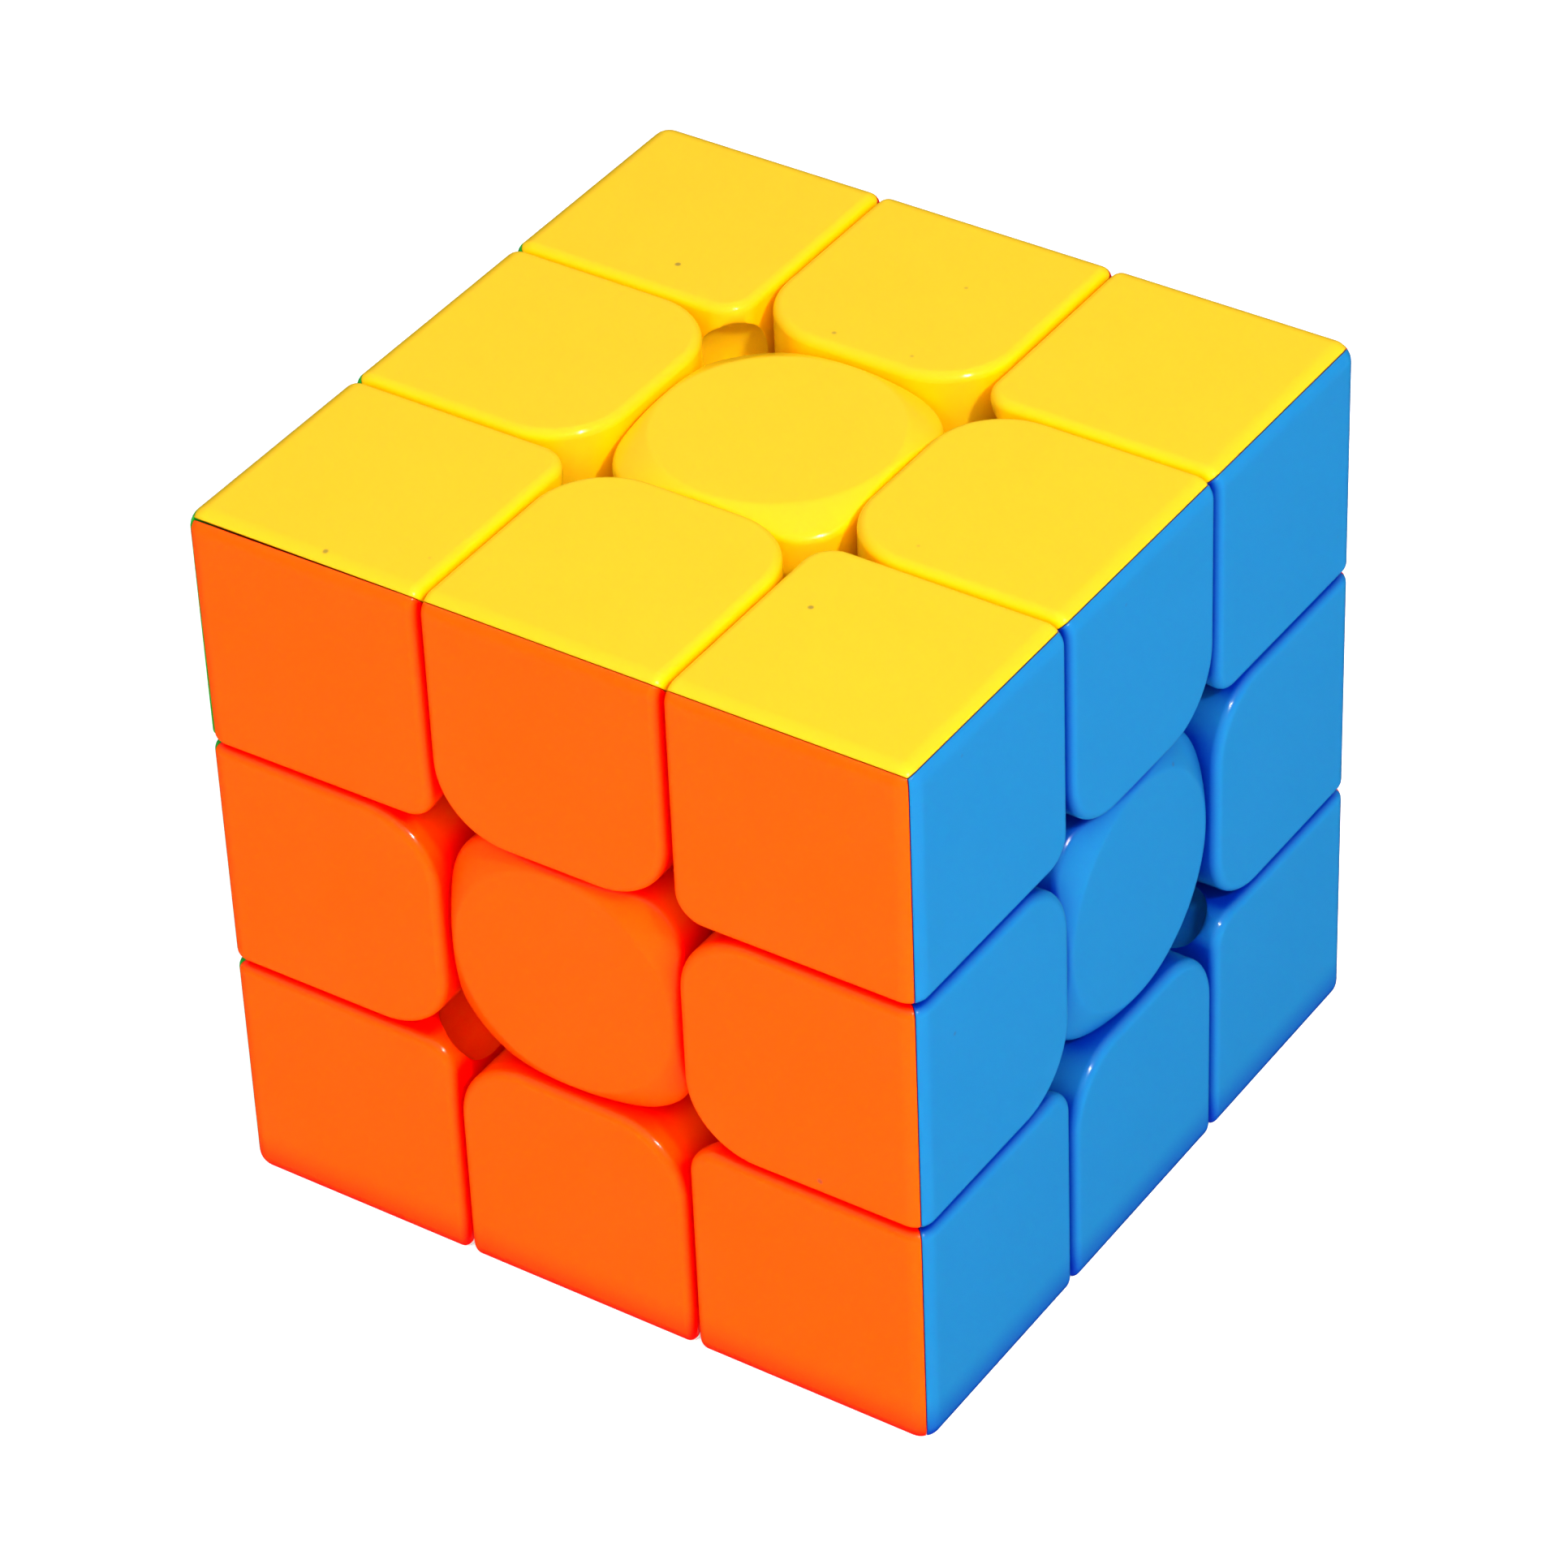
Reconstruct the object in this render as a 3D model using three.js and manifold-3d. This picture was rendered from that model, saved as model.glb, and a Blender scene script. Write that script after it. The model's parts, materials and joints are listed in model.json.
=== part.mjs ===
// A 3 x 3 x 3 twisty puzzle cube in millimetres, +Z up, with the origin at its centre.
//
// A layer holds every piece past its parting plane. Outside a ball the plane is midway between
// two pieces, and inside the ball it lies nearer the middle, so that feet reach under the
// neighbours. Each boundary is then round about the axis of its layer, and the layer can turn.
import * as THREE from "three";
import { mergeVertices } from "three/addons/utils/BufferGeometryUtils.js";
import Module from "manifold-3d";

const wasm = await Module();
wasm.setup();

// Overall size and gaps
const cubeSize = 56;
const pieceGap = 0.4; // between neighbouring pieces
const ballGap = 0.6; // between a foot and what holds it down
const partingGap = 0.3; // between the coloured shells of one piece
const seatGap = 0.3; // between pieces that rest on each other

// Tiles
const shellWall = 1.5;
const outerEdgeRadius = 1.4; // along the edges of the cube
const edgeTileRadius = 5.5; // corners of an edge tile beside the centre
const cornerTileRadius = 2.8; // corner of a corner tile nearest the centre
const centreTileRadius = 4.5;

// Feet
const neckDepth = 3.5; // from a corner piece's inner vertex out to the ball
const footThickness = 4.4;

// Centre caps
const capRecess = 0.4; // below the face of the cube
const capCornerDrop = 1.2; // how far a cap's corners slope down from its disc
const capWall = 1.5;
const skirtRadius = 6.3;
const skirtWall = 1.1;
const skirtDepth = 1.8;
const hubFlange = 2.7; // thickness of a hub over the ball

// Screws and springs
const screwRadius = 1.4;
const headRadius = 3.6;
const headHeight = 2;
const recessWidth = 0.8;
const recessLength = 4;
const recessDepth = 1.2;
const springLength = 6.6;
const springTurns = 4.5;
const wireRadius = 0.4;
const springInset = 0.1; // from the rim of the screw head in to the spring
const headClearance = 0.4; // between the head and the wall of its well
const stemWall = 1.7;
const wellFloor = 1.4;

// Core
const coreRadius = 6;
const armRadius = 4.2;
const armLength = 9.9; // from the centre of the cube
const tapDepth = 6; // of the screw holes in the arms

// Facets
const arcSteps = 2;
const roundSides = 16;
const ballSides = 24;
const coreSides = 12;
const wireSides = 5;
const stepsPerTurn = 8;

// What follows from them
const half = cubeSize / 2;
const layerPlane = cubeSize / 6;
const tileHalf = layerPlane - pieceGap / 2;
const tileInner = layerPlane + pieceGap / 2;
const wellRadius = headRadius + headClearance;
const stemRadius = wellRadius + stemWall;
const footInner = stemRadius + pieceGap; // the feet start here, and past a centre's stem
const footHalf = stemRadius; // half width of an edge's foot
const ballRadius = Math.sqrt(3) * tileInner + neckDepth;
const footRadius = ballRadius - ballGap / 2;
const socketRadius = ballRadius + ballGap / 2;
const footHollow = footRadius - footThickness;
const hubBottom = armLength + seatGap;
const springBottom = hubBottom + wellFloor + seatGap;
const headBottom = springBottom + springLength + seatGap;
const hubTop = socketRadius + hubFlange;
const capBottom = hubTop + seatGap;
const capTop = half - capRecess;
const skirtBottom = hubTop - skirtDepth;

// One face each: its name, its direction and the colour of its plastic
const faces = [
  { name: "top", normal: [0, 0, 1], turn: [0, 0, 0], colour: "yellow" },
  { name: "bottom", normal: [0, 0, -1], turn: [Math.PI, 0, 0], colour: "white" },
  { name: "front", normal: [0, -1, 0], turn: [Math.PI / 2, 0, 0], colour: "orange" },
  { name: "back", normal: [0, 1, 0], turn: [-Math.PI / 2, 0, 0], colour: "red" },
  { name: "left", normal: [-1, 0, 0], turn: [0, -Math.PI / 2, 0], colour: "green" },
  { name: "right", normal: [1, 0, 0], turn: [0, Math.PI / 2, 0], colour: "blue" },
];

function plastic(colour) {
  return new THREE.MeshStandardMaterial({ color: colour, roughness: 0.35, metalness: 0, flatShading: true });
}

function metal(colour, roughness) {
  return new THREE.MeshStandardMaterial({ color: colour, roughness, metalness: 1, flatShading: true });
}

const materials = {
  yellow: plastic(0xfbdb32),
  white: plastic(0xf1f1ee),
  orange: plastic(0xff6b07),
  red: plastic(0xc4161c),
  green: plastic(0x3faf3c),
  blue: plastic(0x2b96d9),
  core: plastic(0x2b2c30),
  screw: metal(0xb9bbbf, 0.3),
  spring: metal(0xa7a9ad, 0.35),
};

// ---- Solids ----

function solid(geometry) {
  geometry.deleteAttribute("normal");
  geometry.deleteAttribute("uv");
  const merged = mergeVertices(geometry, 1e-4);
  return new wasm.Manifold(
    new wasm.Mesh({
      numProp: 3,
      vertProperties: merged.attributes.position.array,
      triVerts: new Uint32Array(merged.index.array),
    }),
  );
}

function geometryOf(body) {
  const mesh = body.getMesh();
  const geometry = new THREE.BufferGeometry();
  geometry.setAttribute("position", new THREE.BufferAttribute(mesh.vertProperties, 3));
  geometry.setIndex(new THREE.BufferAttribute(mesh.triVerts, 1));
  geometry.computeVertexNormals();
  return geometry;
}

function block(low, high) {
  const size = high.map((value, i) => value - low[i]);
  const middle = high.map((value, i) => (value + low[i]) / 2);
  return solid(new THREE.BoxGeometry(...size).translate(...middle));
}

function ball(radius, sides = ballSides) {
  return solid(new THREE.SphereGeometry(radius, sides, sides / 2));
}

// A round body about Z, from its half profile of [radius, height] points
function turned(profile) {
  const points = profile.map(([radius, height]) => new THREE.Vector2(radius, height));
  return solid(new THREE.LatheGeometry(points, roundSides).rotateX(Math.PI / 2));
}

function rod(radius, bottom, top) {
  return turned([[0, bottom], [radius, bottom], [radius, top], [0, top]]);
}

function ring(inner, outer, bottom, top) {
  return turned([[inner, bottom], [outer, bottom], [outer, top], [inner, top], [inner, bottom]]);
}

// A rectangle whose corners are rounded one by one, from the lower left anticlockwise
function outline(low, high, radii) {
  const corners = [[low[0], low[1]], [high[0], low[1]], [high[0], high[1]], [low[0], high[1]]];
  const inward = [[1, 1], [-1, 1], [-1, -1], [1, -1]];
  const shape = new THREE.Shape();
  corners.forEach(([x, y], i) => {
    const radius = radii[i];
    const start = Math.PI + (i * Math.PI) / 2;
    if (radius > 0) {
      const centre = [x + radius * inward[i][0], y + radius * inward[i][1]];
      shape.absarc(...centre, radius, start, start + Math.PI / 2, false);
    } else if (i === 0) shape.moveTo(x, y);
    else shape.lineTo(x, y);
  });
  shape.closePath();
  return shape;
}

function extruded(shape, bottom, top) {
  const options = { depth: top - bottom, bevelEnabled: false, curveSegments: arcSteps };
  return solid(new THREE.ExtrudeGeometry(shape, options).translate(0, 0, bottom));
}

// ---- Centre pieces, along +Z ----

function column(inset, bottom, top) {
  const side = tileHalf - inset;
  const radius = centreTileRadius - inset;
  return extruded(outline([-side, -side], [side, side], [radius, radius, radius, radius]), bottom, top);
}

function hub() {
  const flange = column(0, tileInner, hubTop).subtract(ball(socketRadius));
  const stem = rod(stemRadius, hubBottom, hubTop);
  return flange
    .add(stem)
    .subtract(rod(wellRadius, hubBottom + wellFloor, hubTop + seatGap))
    .subtract(rod(skirtRadius + seatGap, skirtBottom - seatGap, hubTop + seatGap))
    .subtract(rod(screwRadius + seatGap, 0, hubTop));
}

function cap() {
  const cornerRadius = (tileHalf - centreTileRadius) * Math.SQRT2 + centreTileRadius;
  const crown = turned([
    [0, 0],
    [cornerRadius, 0],
    [cornerRadius, capTop - capCornerDrop],
    [tileHalf, capTop],
    [0, capTop],
  ]);
  const ceiling = capTop - capWall;
  return column(0, capBottom, capTop)
    .intersect(crown)
    .subtract(column(shellWall, 0, ceiling))
    .add(ring(skirtRadius - skirtWall, skirtRadius, skirtBottom, ceiling + capWall / 2));
}

function screw() {
  const headTop = headBottom + headHeight;
  const tip = armLength - tapDepth + seatGap;
  const body = turned([
    [0, tip],
    [screwRadius, tip + screwRadius],
    [screwRadius, headBottom],
    [headRadius, headBottom],
    [headRadius, headTop],
    [0, headTop],
  ]);
  const slot = block(
    [-recessLength / 2, -recessWidth / 2, headTop - recessDepth],
    [recessLength / 2, recessWidth / 2, headTop + recessDepth],
  );
  return body.subtract(slot).subtract(slot.rotate([0, 0, 90]));
}

class Coil extends THREE.Curve {
  getPoint(t, target = new THREE.Vector3()) {
    const angle = 2 * Math.PI * springTurns * t;
    const radius = headRadius - springInset - wireRadius;
    const rise = (springLength - 2 * wireRadius) * t;
    return target.set(
      radius * Math.cos(angle),
      radius * Math.sin(angle),
      springBottom + wireRadius + rise,
    );
  }
}

function spring() {
  const section = new THREE.Shape();
  for (let i = 0; i < wireSides; i++) {
    const angle = (2 * Math.PI * i) / wireSides;
    const point = [wireRadius * Math.cos(angle), wireRadius * Math.sin(angle)];
    if (i === 0) section.moveTo(...point);
    else section.lineTo(...point);
  }
  section.closePath();
  const steps = springTurns * stepsPerTurn;
  return solid(new THREE.ExtrudeGeometry(section, { steps, extrudePath: new Coil(), bevelEnabled: false }));
}

// ---- Core ----

function core() {
  let body = ball(coreRadius, coreSides);
  let holes = rod(screwRadius + seatGap, armLength - tapDepth, half);
  const arm = rod(armRadius, -armLength, armLength);
  holes = holes.add(holes.rotate([180, 0, 0]));
  for (const turn of [[0, 0, 0], [90, 0, 0], [0, 90, 0]]) body = body.add(arm.rotate(turn));
  for (const turn of [[0, 0, 0], [90, 0, 0], [0, 90, 0]]) body = body.subtract(holes.rotate(turn));
  return body;
}

// ---- Edge pieces: the top half of the edge between the +Z and +Y faces ----

function edgeTile() {
  const inside = edgeTileRadius;
  const face = outline([-tileHalf, tileInner], [tileHalf, half], [inside, inside, 0, 0]);
  const profile = outline([tileInner, tileInner], [half, half], [0, 0, outerEdgeRadius, 0]);
  const fromTop = extruded(face, 0, half);
  const fromBack = fromTop.rotate([90, 0, 0]).rotate([0, 0, 180]);
  const fromSide = extruded(profile, -half, half).rotate([90, 0, 0]).rotate([0, 0, 90]);
  return fromTop.intersect(fromBack).intersect(fromSide);
}

function edgeHollow() {
  const wide = tileHalf - shellWall;
  const reach = Math.sqrt(((socketRadius + shellWall) ** 2 - wide ** 2) / 2);
  const narrow = footHalf - shellWall;
  const low = tileInner + shellWall;
  const high = half - shellWall;
  return block([-wide, reach, reach], [wide, high, high]).add(
    block([-narrow, low, low], [narrow, high, high]),
  );
}

function edgeHalf() {
  const tile = edgeTile();
  const neck = block([-footHalf, 0, 0], [footHalf, half, half]);
  const foot = block([-footHalf, footInner, footInner], [footHalf, half, half]).intersect(ball(footRadius));
  const whole = tile
    .subtract(ball(socketRadius))
    .add(tile.intersect(neck))
    .add(foot)
    .subtract(ball(footHollow))
    .subtract(edgeHollow());
  const parting = partingGap / Math.SQRT2;
  const topSide = block([-half, -cubeSize, 0], [half, cubeSize, cubeSize])
    .rotate([45, 0, 0])
    .translate([0, 0, parting]);
  return whole.intersect(topSide);
}

// ---- Corner pieces: the corner between +X, +Y and +Z ----

function cornerTile() {
  const radii = [cornerTileRadius, 0, outerEdgeRadius, 0];
  const face = outline([tileInner, tileInner], [half, half], radii);
  const fromTop = extruded(face, 0, half);
  const fromSide = fromTop.rotate([90, 0, 0]).rotate([0, 0, 90]);
  const fromBack = fromSide.rotate([90, 0, 0]).rotate([0, 0, 90]);
  return fromTop.intersect(fromSide).intersect(fromBack);
}

function corner() {
  const foot = block([footInner, footInner, footInner], [half, half, half]).intersect(ball(footRadius));
  const low = tileInner + shellWall;
  const high = half - shellWall;
  const drain = rod(shellWall / 2, 0, half)
    .rotate([0, (Math.atan(Math.SQRT2) * 180) / Math.PI, 0])
    .rotate([0, 0, 45]);
  return cornerTile()
    .add(foot)
    .subtract(ball(footHollow))
    .subtract(block([low, low, low], [high, high, high]))
    .subtract(drain.intersect(block([0, 0, 0], [layerPlane + shellWall * 2, half, half])));
}

// ---- Assembly ----

const cube = new THREE.Group();

function place(parent, name, geometry, material) {
  const mesh = new THREE.Mesh(geometry, material);
  mesh.name = name;
  parent.add(mesh);
  return mesh;
}

function faceToward(direction) {
  return faces.find((face) => new THREE.Vector3(...face.normal).dot(direction) > 0.9);
}

// Names list the upright face first, then front or back, then left or right
function joinedName(chosen) {
  return faces
    .filter((face) => chosen.includes(face))
    .map((face) => face.name)
    .join("_");
}

const shapes = {
  hub: geometryOf(hub()),
  cap: geometryOf(cap()),
  screw: geometryOf(screw()),
  spring: geometryOf(spring()),
  edgeHalf: geometryOf(edgeHalf()),
  corner: geometryOf(corner()),
};

place(cube, "core", geometryOf(core()), materials.core);

for (const face of faces) {
  const stack = new THREE.Group();
  stack.rotation.set(...face.turn);
  cube.add(stack);
  stack.updateMatrix();
  place(stack, "screw_" + face.name, shapes.screw, materials.screw);
  place(stack, "spring_" + face.name, shapes.spring, materials.spring);
  place(stack, "hub_" + face.name, shapes.hub, materials[face.colour]);
  place(stack, "cap_" + face.name, shapes.cap, materials[face.colour]);
  for (let quarter = 0; quarter < 4; quarter++) {
    const turn = (quarter * Math.PI) / 2;
    const outward = new THREE.Vector3(-Math.sin(turn), Math.cos(turn), 0).applyMatrix4(stack.matrix);
    const name = "edge_" + joinedName([face, faceToward(outward)]) + "_" + face.colour;
    place(stack, name, shapes.edgeHalf, materials[face.colour]).rotation.z = turn;
  }
}

for (const end of [faces[0], faces[1]]) {
  const layer = new THREE.Group();
  layer.rotation.set(...end.turn);
  cube.add(layer);
  layer.updateMatrix();
  for (let quarter = 0; quarter < 4; quarter++) {
    const turn = (quarter * Math.PI) / 2;
    const sides = [turn, turn + Math.PI / 2].map((angle) =>
      faceToward(new THREE.Vector3(Math.cos(angle), Math.sin(angle), 0).applyMatrix4(layer.matrix)),
    );
    const name = "corner_" + joinedName([end, ...sides]);
    place(layer, name, shapes.corner, materials[end.colour]).rotation.z = turn;
  }
}

export default cube;
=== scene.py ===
import json
import math

import bmesh
import bpy
from mathutils import Matrix, Vector

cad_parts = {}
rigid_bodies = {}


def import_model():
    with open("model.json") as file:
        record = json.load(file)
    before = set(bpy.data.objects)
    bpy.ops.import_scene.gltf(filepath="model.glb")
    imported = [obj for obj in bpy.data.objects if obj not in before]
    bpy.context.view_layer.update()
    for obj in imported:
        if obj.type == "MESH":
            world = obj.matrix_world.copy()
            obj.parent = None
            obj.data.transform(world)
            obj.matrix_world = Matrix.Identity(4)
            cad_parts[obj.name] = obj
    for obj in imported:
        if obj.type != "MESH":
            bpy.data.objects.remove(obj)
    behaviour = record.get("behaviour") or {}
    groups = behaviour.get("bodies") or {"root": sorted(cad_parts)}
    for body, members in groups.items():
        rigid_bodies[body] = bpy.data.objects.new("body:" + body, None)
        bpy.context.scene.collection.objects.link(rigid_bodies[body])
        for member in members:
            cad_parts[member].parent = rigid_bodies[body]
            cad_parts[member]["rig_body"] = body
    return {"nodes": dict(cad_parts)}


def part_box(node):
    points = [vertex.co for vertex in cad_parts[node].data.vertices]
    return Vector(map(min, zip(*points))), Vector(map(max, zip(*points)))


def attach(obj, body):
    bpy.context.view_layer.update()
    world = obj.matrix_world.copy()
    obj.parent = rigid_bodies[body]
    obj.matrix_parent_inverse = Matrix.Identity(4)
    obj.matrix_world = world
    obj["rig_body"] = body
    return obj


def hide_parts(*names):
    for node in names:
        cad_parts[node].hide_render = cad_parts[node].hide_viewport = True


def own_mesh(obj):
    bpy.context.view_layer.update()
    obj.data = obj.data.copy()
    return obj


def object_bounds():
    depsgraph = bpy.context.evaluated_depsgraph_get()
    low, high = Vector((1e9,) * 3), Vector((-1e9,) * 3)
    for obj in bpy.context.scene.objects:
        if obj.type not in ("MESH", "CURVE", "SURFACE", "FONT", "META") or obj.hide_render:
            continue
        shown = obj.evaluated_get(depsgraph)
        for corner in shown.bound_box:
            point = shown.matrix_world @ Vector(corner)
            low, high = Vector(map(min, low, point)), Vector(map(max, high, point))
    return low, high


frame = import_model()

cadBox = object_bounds()

# Shapes are worked out in millimetres about the middle of the cube and scaled when they become pieces
perMetre = 1000

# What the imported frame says
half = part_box("corner_top_back_right")[1].z * perMetre          # from the middle of the cube to a face
layerPlane = half / 3
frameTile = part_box("edge_top_front_yellow")[1].x * perMetre      # half width, with the frame's gap
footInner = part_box("corner_top_back_right")[0].x * perMetre      # where the feet start, beside the stems
hubLow, hubHigh = (corner.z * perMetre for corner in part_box("hub_top"))
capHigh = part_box("cap_top")[1].z * perMetre
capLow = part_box("cap_top")[0].z * perMetre                       # bottom of the skirt
screwLow, screwHigh = (corner.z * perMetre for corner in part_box("screw_top"))
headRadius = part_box("screw_top")[1].x * perMetre
springLow, springHigh = (corner.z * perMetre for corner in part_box("spring_top"))
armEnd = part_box("core")[1].z * perMetre

# One face each: its name, the turn that carries the top face there, and its colour
faces = [
    {"name": "top", "turn": Matrix.Identity(4), "colour": "yellow"},
    {"name": "bottom", "turn": Matrix.Rotation(math.pi, 4, "X"), "colour": "white"},
    {"name": "front", "turn": Matrix.Rotation(math.pi / 2, 4, "X"), "colour": "orange"},
    {"name": "back", "turn": Matrix.Rotation(-math.pi / 2, 4, "X"), "colour": "red"},
    {"name": "left", "turn": Matrix.Rotation(-math.pi / 2, 4, "Y"), "colour": "green"},
    {"name": "right", "turn": Matrix.Rotation(math.pi / 2, 4, "Y"), "colour": "blue"},
]

tiles = {
    "gap": 0.36,             # between neighbours
    "roll": 1.5,             # radius along the edges of the cube
    "rim": 0.7,              # radius of the soft rim beside a gap
    "edgeCorner": 5.5,       # corners of an edge tile beside the centre
    "cornerCorner": 2.3,     # corner of a corner tile nearest the centre
    "centreCorner": 4.5,
    "seam": 0.05,            # between the coloured shells of one piece
    "seamSoftness": 0.05,
    "wall": 1.6,
    "root": 2,               # how far a tile is started below its gap, before its foot is added
}
# How finely each round is divided
divisions = {"edgeCorner": 14, "cornerCorner": 12, "roll": 10, "rim": 7, "seam": 2}
onPlane = 1e-3               # how near a point counts as on a plane
mergeDistance = 1e-4         # points this near become one
overshoot = 1                # how far a cutter reaches past what it cuts
mechanism = {
    "neck": 3.5,             # from a corner piece's inner point out to the ball
    "ballGap": 0.6,
    "footThickness": 4.4,
    "footHalf": 5.7,         # half width of an edge's foot, and radius of a hub's stem
}

tileHalf = layerPlane - tiles["gap"] / 2
tileInner = layerPlane + tiles["gap"] / 2
seamShift = tiles["seam"] / math.sqrt(2)
ballRadius = math.sqrt(3) * (2 * layerPlane - frameTile) + mechanism["neck"]
footRadius = ballRadius - mechanism["ballGap"] / 2
socketRadius = ballRadius + mechanism["ballGap"] / 2
footHollow = footRadius - mechanism["footThickness"]


def block(low, high):
    mesh = bmesh.new()
    bmesh.ops.create_cube(mesh, size=1)
    low, high = Vector(low), Vector(high)
    bmesh.ops.scale(mesh, vec=high - low, verts=mesh.verts)
    bmesh.ops.translate(mesh, vec=(low + high) / 2, verts=mesh.verts)
    return mesh


def ball(radius, sides=96):
    mesh = bmesh.new()
    bmesh.ops.create_uvsphere(mesh, u_segments=sides, v_segments=sides // 2, radius=radius)
    return mesh


def rod(radius, bottom, top, sides=64):
    mesh = bmesh.new()
    bmesh.ops.create_cone(
        mesh, cap_ends=True, segments=sides, radius1=radius, radius2=radius, depth=top - bottom
    )
    bmesh.ops.translate(mesh, vec=(0, 0, (top + bottom) / 2), verts=mesh.verts)
    return mesh


def rounded(mesh, edges, radius, segments):
    bmesh.ops.bevel(
        mesh, geom=edges, offset=radius, offset_type="OFFSET", segments=segments,
        profile=0.5, affect="EDGES", material=-1, clamp_overlap=False,
    )


def trimmed(mesh, point, outward):
    # Takes away what lies past the plane and closes the cut
    everything = mesh.verts[:] + mesh.edges[:] + mesh.faces[:]
    bmesh.ops.bisect_plane(
        mesh, geom=everything, dist=1e-5, plane_co=point, plane_no=outward, clear_outer=True
    )
    bmesh.ops.holes_fill(mesh, edges=[edge for edge in mesh.edges if edge.is_boundary], sides=0)
    return mesh


def looseObject(name, mesh):
    data = bpy.data.meshes.new(name)
    mesh.to_mesh(data)
    mesh.free()
    made = bpy.data.objects.new(name, data)
    bpy.context.scene.collection.objects.link(made)
    return made


def joined(body, tool, operation):
    # body with tool taken away or added; both meshes are used up
    bodyObject = looseObject("body", body)
    toolObject = looseObject("tool", tool)
    modifier = bodyObject.modifiers.new("join", "BOOLEAN")
    modifier.object = toolObject
    modifier.operation = operation
    modifier.solver = "EXACT"
    bpy.context.view_layer.update()
    made = bmesh.new()
    made.from_object(bodyObject, bpy.context.evaluated_depsgraph_get())
    for used in (bodyObject, toolObject):
        data = used.data
        bpy.data.objects.remove(used)
        bpy.data.meshes.remove(data)
    bmesh.ops.remove_doubles(made, verts=made.verts, dist=mergeDistance)
    bmesh.ops.dissolve_degenerate(made, edges=made.edges, dist=mergeDistance)
    return made


def without(body, tool):
    return joined(body, tool, "DIFFERENCE")


def withAdded(body, tool):
    return joined(body, tool, "UNION")


shading = {"sharpAngle": 38, "flatWeight": 80}     # degrees, and how far flat faces set the normals


def piece(name, mesh, place, material, rides, replaces):
    # A finished object at the origin with its place in its mesh, riding on its node's body
    bmesh.ops.recalc_face_normals(mesh, faces=mesh.faces)
    data = bpy.data.meshes.new(name)
    mesh.to_mesh(data)
    data.transform(Matrix.Scale(1 / perMetre, 4) @ place)
    made = bpy.data.objects.new(name, data)
    bpy.context.scene.collection.objects.link(made)
    data.materials.append(material)
    data.shade_smooth()
    data.set_sharp_from_angle(angle=math.radians(shading["sharpAngle"]))
    weighted = made.modifiers.new("flat faces stay flat", "WEIGHTED_NORMAL")
    weighted.keep_sharp = True
    weighted.weight = shading["flatWeight"]
    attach(made, rides)
    if replaces:
        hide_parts(replaces)
    return made


def link(tree, source, output, target, socket):
    tree.links.new(source.outputs[output], target.inputs[socket])


def newMaterial(name):
    material = bpy.data.materials.new(name)
    material.use_nodes = True
    tree = material.node_tree
    return material, tree, tree.nodes["Principled BSDF"]


plasticFinish = {
    "roughness": (0.13, 0.17),
    "mottleSize": 6,          # millimetres, as are the other sizes here
    "mottle": 0.02,
    "grainSize": 0.35,
    "grain": 0.01,
    "grainStrength": 0.25,
    "speckSpacing": 7,        # one speck of dust in about this many millimetres
    "speckSize": 0.14,
    "speckDarkness": 0.6,
    "glow": 0.4,              # share of the light that sinks in before it comes back
    "glowDepth": 1.2,
    "leastGlow": 0.02,        # for the colours that the plastic takes up
    "softness": 0.2,          # radius of the smallest edges
    # The next two set the painted crevice shade: how far the ambient occlusion looks, and how much shelter
    # turns the colour fully to the painted shade
    "crevice": 4,             # how far round a point to look for shelter from the light
    "openness": (0.5, 1),     # from a deep crevice to a flat face
    "shine": 0.28,
    "refraction": 1.46,
}
dust = (0.05, 0.045, 0.03, 1)


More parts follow.
